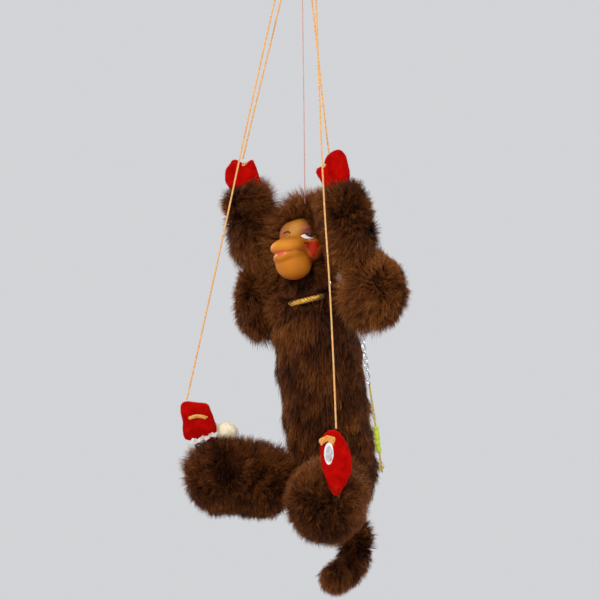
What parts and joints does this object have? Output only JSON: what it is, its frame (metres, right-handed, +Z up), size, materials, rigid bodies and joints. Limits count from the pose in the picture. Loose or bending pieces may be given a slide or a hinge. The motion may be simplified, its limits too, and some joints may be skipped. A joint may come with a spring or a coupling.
{
  "type": "fur monkey marionette",
  "caption": "Dark brown fur monkey string puppet with a rubber face, red felt hands and feet, a gold collar and a chain leash, hanging from a small wooden hand control.",
  "frame": {"origin": "centre of the hang hole in the control's upright", "axes": "+Z up along the strings' middle line, -Y the way the monkey faces, +X towards the monkey's own left"},
  "size_m": [0.1769, 0.168, 0.563],
  "materials": {
    "control_wood": "satin varnish",
    "dowel_wood": "raw",
    "brass": "polished",
    "head_thread": "fine thread",
    "puppet_string": "twisted cotton cord",
    "fur": "long soft fur",
    "stuffing": "cotton waste",
    "wire": "drawn wire",
    "gold_braid": "metallic braid",
    "chain_metal": "bright plated",
    "leash_cord": "thin cord",
    "neon_sleeve": "fluorescent tube",
    "face_rubber": "painted soft rubber",
    "red_felt": "wool felt",
    "knot_yarn": "soft yarn",
    "cream_fleece": "fleece",
    "sole_patch": "cotton cloth"
  },
  "bodies": {
    "puppet_root": {"control_upright": "control_wood", "control_crossbar": "control_wood", "head_string_eye": "brass", "head_string": "head_thread", "neck_dowel": "dowel_wood", "torso_fur": "fur", "torso_stuffing": "stuffing", "shoulder_wire": "wire", "hip_wire": "wire", "tail_staple": "wire", "collar_braid": "gold_braid", "leash_ring": "chain_metal"},
    "head": {"head_fur": "fur", "head_stuffing": "stuffing", "face_mask": "face_rubber"},
    "tail": {"tail_fur": "fur", "tail_wire": "wire"},
    "leash": {"leash_chain": "chain_metal", "leash_cord": "leash_cord", "leash_sleeve": "neon_sleeve", "leash_knot": "leash_cord"},
    "right_upper_arm": {"right_upper_arm_fur": "fur", "right_upper_arm_stuffing": "stuffing", "right_upper_arm_wire": "wire"},
    "right_forearm": {"right_forearm_fur": "fur", "right_forearm_stuffing": "stuffing", "right_forearm_wire": "wire", "right_hand_palm": "red_felt", "right_hand_back": "red_felt"},
    "right_hand_line": {"right_hand_string": "puppet_string"},
    "right_leg": {"right_leg_fur": "fur", "right_leg_stuffing": "stuffing", "right_leg_wire": "wire", "right_leg_pad": "cream_fleece"},
    "right_foot": {"right_foot_upper": "red_felt", "right_foot_sole": "red_felt", "right_foot_wire": "wire", "right_foot_knot": "knot_yarn"},
    "right_foot_line": {"right_foot_string": "puppet_string"},
    "left_upper_arm": {"left_upper_arm_fur": "fur", "left_upper_arm_stuffing": "stuffing", "left_upper_arm_wire": "wire"},
    "left_forearm": {"left_forearm_fur": "fur", "left_forearm_stuffing": "stuffing", "left_forearm_wire": "wire", "left_hand_palm": "red_felt", "left_hand_back": "red_felt"},
    "left_hand_line": {"left_hand_string": "puppet_string"},
    "left_leg": {"left_leg_fur": "fur", "left_leg_stuffing": "stuffing", "left_leg_wire": "wire"},
    "left_foot": {"left_foot_upper": "red_felt", "left_foot_sole": "red_felt", "left_foot_wire": "wire", "left_foot_knot": "knot_yarn", "left_sole_patch": "sole_patch"},
    "left_foot_line": {"left_foot_string": "puppet_string"}
  },
  "joints": [
    {"name": "head_turn", "type": "hinge", "parent": "puppet_root", "child": "head", "pos_m": [0, 0.008, -0.262], "axis": [0, 0, 1], "range_deg": [-25, 25]},
    {"name": "tail_swing", "type": "hinge", "parent": "puppet_root", "child": "tail", "pos_m": [0, 0.066, -0.483], "axis": [1, 0, 0], "range_deg": [-20, 30]},
    {"name": "leash_swing", "type": "hinge", "parent": "puppet_root", "child": "leash", "pos_m": [0.0439, 0.0176, -0.3061], "axis": [0, -1, 0], "range_deg": [0, 25]},
    {"name": "right_arm_lift", "type": "hinge", "parent": "puppet_root", "child": "right_upper_arm", "pos_m": [-0.036, 0.013, -0.306], "axis": [-0.1789, 0.9839, 0], "range_deg": [0, 25]},
    {"name": "right_elbow", "type": "hinge", "parent": "right_upper_arm", "child": "right_forearm", "pos_m": [-0.058, 0.009, -0.2705], "axis": [-0.1789, 0.9839, 0], "range_deg": [-35.1, 0]},
    {"name": "right_hand_pull", "type": "slide", "parent": "puppet_root", "child": "right_hand_line", "axis": [0.313, -0.0374, 0.949], "range_m": [0, 0.0041]},
    {"name": "right_leg_lift", "type": "hinge", "parent": "puppet_root", "child": "right_leg", "pos_m": [-0.022, 0.016, -0.462], "axis": [-0.8057, 0.5924, 0], "range_deg": [0, 30]},
    {"name": "right_ankle", "type": "hinge", "parent": "right_leg", "child": "right_foot", "pos_m": [-0.072, -0.052, -0.427], "axis": [-0.8057, 0.5924, 0], "range_deg": [-61.9, 0]},
    {"name": "right_foot_pull", "type": "slide", "parent": "puppet_root", "child": "right_foot_line", "axis": [0.1229, 0.1754, 0.9768], "range_m": [0, 0.0259]},
    {"name": "left_arm_lift", "type": "hinge", "parent": "puppet_root", "child": "left_upper_arm", "pos_m": [0.036, 0.013, -0.306], "axis": [-0.3511, -0.9363, 0], "range_deg": [0, 15]},
    {"name": "left_elbow", "type": "hinge", "parent": "left_upper_arm", "child": "left_forearm", "pos_m": [0.052, 0.007, -0.264], "axis": [-0.3511, -0.9363, 0], "range_deg": [-22, 0]},
    {"name": "left_hand_pull", "type": "slide", "parent": "puppet_root", "child": "left_hand_line", "axis": [-0.1754, 0.0563, 0.9829], "range_m": [0, 0.0032]},
    {"name": "left_leg_lift", "type": "hinge", "parent": "puppet_root", "child": "left_leg", "pos_m": [0.022, 0.016, -0.462], "axis": [-0.8211, -0.5708, 0], "range_deg": [0, 24]},
    {"name": "left_ankle", "type": "hinge", "parent": "left_leg", "child": "left_foot", "pos_m": [0.079, -0.066, -0.465], "axis": [-0.8211, -0.5708, 0], "range_deg": [-22.7, 0]},
    {"name": "left_foot_pull", "type": "slide", "parent": "puppet_root", "child": "left_foot_line", "axis": [-0.1576, 0.1499, 0.9761], "range_m": [0, 0.042]}
  ],
  "couplings": [
    {"joint": "right_elbow", "follows": "right_arm_lift", "ratio": -1.4},
    {"joint": "right_hand_pull", "follows": "right_arm_lift", "m_per_rad": 0.0089},
    {"joint": "right_ankle", "follows": "right_leg_lift", "ratio": -2.06},
    {"joint": "right_foot_pull", "follows": "right_leg_lift", "m_per_rad": 0.049},
    {"joint": "left_elbow", "follows": "left_arm_lift", "ratio": -1.46},
    {"joint": "left_hand_pull", "follows": "left_arm_lift", "m_per_rad": 0.0115},
    {"joint": "left_ankle", "follows": "left_leg_lift", "ratio": -0.94},
    {"joint": "left_foot_pull", "follows": "left_leg_lift", "m_per_rad": 0.0998}
  ]
}
